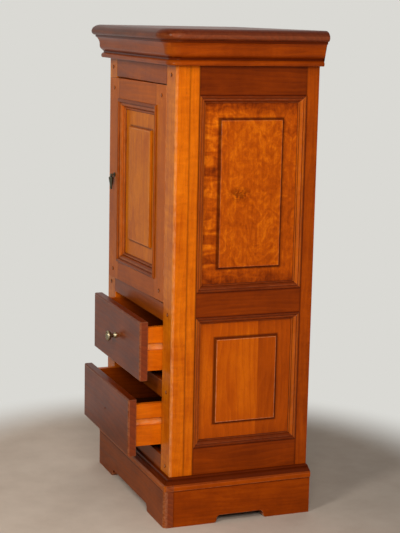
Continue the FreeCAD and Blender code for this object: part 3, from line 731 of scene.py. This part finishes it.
def mark_panel(values, kind, across, own, size, field_h, recessed):
    """Mark a panel's corner: across is how far its face looks out of the panel, own its place."""
    # A field's walls are darkened with wax; its slopes are rubbed pale and carry a painted highlight.
    if across < WALL_TILT:
        values["rubbed"], values["hollow"] = 0.0, kind.wall
    elif across < SLOPE_TILT:
        values["rubbed"], values["hollow"] = kind.rub, 0.0
    values["figure"] = kind.figure * FIELD_FIGURE
    if recessed:
        middle, slope, least = MARGIN_FIGURE
        values["figure"] = kind.figure * max(least, middle - slope * own.y / size.y)
        # Painted shade, with some dirt: the margin darkens past the field's ends.
        beyond = max(0.0, abs(own.z) - field_h / 2) / (size.z - field_h) * 2
        values["tone"] -= kind.dusk * beyond


def mark_drawer_side(values, across, own, size, recessed, inside):
    """Mark a corner of a drawer's side."""
    if recessed and across > BROADSIDE:
        values["rubbed"] = 1.0
        values["tone"] += GROOVE_TONE
    # Painted shade inside the drawer, darker towards the back.
    if inside:
        front, deeper = INSIDE_SHADE
        values["tone"] -= front + deeper * (own.y / size.y + 0.5)


print("a field's walls lean by more than", round(math.degrees(math.acos(WALL_TILT))), "degrees")

# %% [markdown]
# Each board gets its own place in a log, so that no two show the same grain, and a tone a little off that
# of its kind. The grain runs along the board's longest side. The door stands ajar, so its boards are turned
# square before they are measured.

# %% Places in a log
door_swing = next(j for j in frame["joints"] if j["name"] == "door_swing")
AJAR = math.radians(-door_swing["range_deg"][0])
SIDEWAYS = 0.05
FROM_PITH = (0.05, 0.14)
LOG_L = 20.0
LEAN = 0.05
TONE_SPREAD = 0.02
SECOND_BOARD = 0.1
Board = namedtuple("Board", "centre size grain flat log lean tone")


def place_in_log(faces, square, kind, index, draw):
    """Measure a board, and draw its place in the log, how far it leans there and its tone."""
    low, high = extent([square @ vert.co for face in faces for vert in face.verts])
    size = high - low
    grain = max(range(3), key=lambda i: size[i])
    flat = min(range(3), key=lambda i: size[i])
    log = Vector((draw.uniform(-SIDEWAYS, SIDEWAYS), draw.uniform(*FROM_PITH), draw.uniform(0, LOG_L)))
    lean = draw.uniform(-LEAN, LEAN)
    # Level lengths of a moulding take a darker tone, as painted shade.
    tone = kind.tone + draw.uniform(-TONE_SPREAD, TONE_SPREAD) + (kind.lying if grain < 2 else 0)
    tone -= SECOND_BOARD * (kind.joined and index)
    return Board((low + high) / 2, size, grain, flat, log, lean, tone)


def sawn_at(own, board):
    """The place in the log of a point, given from the board's middle."""
    order = [i for i in range(3) if i != board.grain] + [board.grain]
    place = Vector([own[i] for i in order])
    place.x += board.lean * place.z
    return place + board.log


print("door stands ajar by", round(math.degrees(AJAR), 1), "degrees")

# %% [markdown]
# Wear, painted light, tone and place in the log are written as attributes of the face corners, for the
# shaders. A narrow face takes the wear and painted light of its long edges. Beyond that, ledges that look up
# are darkened with some wax and painted shade, boards are painted a little darker towards the floor as
# painted shade, and the cupboard's front is painted greyer and a little darker, partly as daylight fading
# and partly as painted sheen and shade.

# %% Wear, painted light and grain of every corner
THIN = 6 * MM
LEDGE = 60 * MM
LOOKS_UP = 0.3
END_ON = 0.8
INWARD = -0.05
# Painted shade towards the floor, and painted shade with some daylight fading on the front.
LOW_SHADE = 0.05
FRONT_SHADE_AND_FADING = 0.06


def long_edge(loop):
    """The longer of the two edges at a face's corner."""
    return max(loop.edge, loop.link_loop_prev.edge, key=lambda e: e.calc_length())


def marked_edges(bm, node, body, kind):
    """How far the long edges of each narrow face are rubbed pale with a painted highlight, and how far
    darkened by wax and painted shade.
    """
    quirks = quirks_of(bm)
    narrow = [face for face in bm.faces if breadth(face) < THIN]
    edges = dict.fromkeys(long_edge(loop) for face in narrow for loop in face.loops)
    return {edge: marks_of_edge(edge, node, body, quirks) if kind.waxed else (0.0, 0.0) for edge in edges}


def saw(piece, node, body, kind, field_h):
    """Give each board its own place in the log and mark rubbed arrises with painted highlights, hollows
    darkened by wax and painted shade, and end grain.
    """
    bm = bmesh.new()
    bm.from_mesh(piece.data)
    sawn = bm.loops.layers.float_vector.new("sawn")
    felt = {key: bm.loops.layers.float.new(key) for key in FELT}
    number = bm.faces.layers.int["board"]
    square = Matrix.Rotation(-AJAR if body.startswith("door") else 0.0, 3, "Z")
    edge_marks = marked_edges(bm, node, body, kind)
    darkness = darkness_by_height(bm, node, body) if kind.level else {}
    boards = {}
    for face in bm.faces:
        boards.setdefault(face[number], []).append(face)
    for index, faces in boards.items():
        board = place_in_log(faces, square, kind, index, random.Random(f"{piece.name} {index}"))
        for face in faces:
            facing = square @ face.normal
            across = abs(facing[board.flat])
            middle = square @ face.calc_center_median() - board.centre
            recessed = abs(middle[board.flat]) < board.size[board.flat] / 2 - SLIGHT
            inside = facing.x * board.centre.x < INWARD
            rub = 0.0 if level_beside(face) else kind.rub
            values = {"figure": kind.figure, "mottle": kind.mottle, "rubbed": 0.0, "hollow": 0.0,
                      "end": float(abs(facing[board.grain]) > END_ON), "faded": max(0.0, -facing.y)}
            for loop in face.loops:
                own = square @ loop.vert.co - board.centre
                # Painted shade: lower corners are darker, and faces that look to the front are darker,
                # partly as daylight fading and partly as painted shade.
                values["tone"] = board.tone - LOW_SHADE * (1 - loop.vert.co.z) - FRONT_SHADE_AND_FADING * values["faded"]
                if breadth(face) < THIN:
                    values["rubbed"], values["hollow"] = edge_marks[long_edge(loop)]
                values["rubbed"] *= rub
                if darkness:
                    values["hollow"] = darkness[min(darkness, key=lambda height: abs(height - loop.vert.co.z))]
                if kind.wall:
                    mark_panel(values, kind, across, own, board.size, field_h, recessed)
                # Upward faces of ledges are darkened, partly wax and partly painted shade.
                if facing.z > LOOKS_UP and breadth(face) < LEDGE:
                    values["hollow"] = max(values["hollow"], kind.ledge)
                # Painted shade: the upper half of the plinth moulding is dark.
                if kind.dusk and not kind.wall and own.z > 0:
                    values["rubbed"], values["hollow"] = 0.0, kind.dusk
                if not kind.waxed:
                    mark_drawer_side(values, across, own, board.size, recessed, inside)
                loop[sawn] = sawn_at(own, board)
                for key in FELT:
                    loop[felt[key]] = values[key]
    bm.to_mesh(piece.data)
    bm.free()


print("faces narrower than", round(THIN / MM), "mm show wear")

# %% [markdown]
# Each kind of board gets its own easing, tone and figure. The posts are the brightest; the upper panels
# are the showpieces, cut from rippled and mottled wood; rails came out of the stain much darker, and the
# mouldings and drawer fronts with them. The level lengths of the mouldings are painted darker still as
# painted shade, and the drawer bottoms get the darkest tone as painted shade inside the drawers. A weighted
# normal keeps the broad faces flat to the eye, and only the edges turn the light.

# %% Dress every node
SMOOTH_WOOD = math.radians(50)
SMOOTH_METAL = math.radians(60)
# Each kind has the first words of its nodes' names, its easing in mm, its tone, figure and mottle.
KINDS = (
    Kind(("side_upper_panel",), 0.6, 0.62, 1.0, 1.0, wall=0.9, rub=0.4, dusk=0.45),
    Kind(("side_lower_panel",), 0.6, 0.66, 0.05, wall=0.9, dusk=0.1, joined=True),
    Kind(("door_panel",), 0.6, 0.73, 0.1, 0.2, wall=0.3),
    Kind(("side_mouldings",), 0.3, 0.62, lying=-0.28, ledge=0.5, rub=0.5),
    Kind(("door_moulding",), 0.3, 0.58, lying=-0.1, ledge=0.5),
    Kind(("plinth_moulding",), 0.3, 0.56, ledge=0.5, rub=0.5, dusk=1.0),
    Kind(("cornice",), 0.3, 0.43, rub=0.0, level=True),
    Kind(("front_post",), 2.0, 0.74, 0.25, rub=1.5),
    Kind(("side_stile",), 0.7, 0.76, 0.2),
    Kind(("rear_post",), 0.7, 0.49, 0.1, 0.2),
    Kind(("side_top_rail",), 0.7, 0.25, 0.05),
    Kind(("side_middle_rail",), 0.7, 0.33, 0.05),
    Kind(("side_bottom_rail",), 0.7, 0.35, 0.05),
    Kind(("door_stile",), 0.7, 0.64),
    Kind(("door_top_rail", "door_bottom_rail"), 0.7, 0.59),
    Kind(("upper_drawer_front", "lower_drawer_front"), 0.7, 0.34, 0.05, ledge=0.5),
    Kind(("upper_drawer_sides", "lower_drawer_sides"), 0.6, 0.74, waxed=False),
    # The drawer bottoms' darkest tone is painted shade inside the drawers.
    Kind(("upper_drawer_bottom", "lower_drawer_bottom"), 0.4, 0.0, 0.0),
    Kind(("top_board",), 0.8, 0.24, ledge=0.5, rub=0.2),
    Kind(("plinth",), 0.8, 0.44, 0.05, 0.2),
    Kind(("frame_pegs", "door_pegs"), 0.3, 0.2, 0.0, 0.0),
    Kind(("upper_drawer_knob", "door_pull", "door_pivot"), 0.15, 0.5, 0.0, 0.0),
    Kind(("",), 0.4, 0.48),
)

for name, node in sorted(frame["nodes"].items()):
    kind = next(k for k in KINDS if name.startswith(k.names))
    body = node["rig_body"]
    piece, slot, field_h = eased(name, kind)
    saw(piece, name, body, kind, field_h)
    flat = piece.modifiers.new("flat_faces", "WEIGHTED_NORMAL")
    bpy.ops.object.shade_smooth_by_angle(angle=SMOOTH_METAL if slot in ("brass", "bronze") else SMOOTH_WOOD)
    flat.keep_sharp = True
    bpy.ops.object.modifier_apply(modifier=flat.name)
    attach(piece, body)
    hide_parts(name)
print("dressed", sum(o.name.endswith("_eased") for o in bpy.data.objects), "nodes")
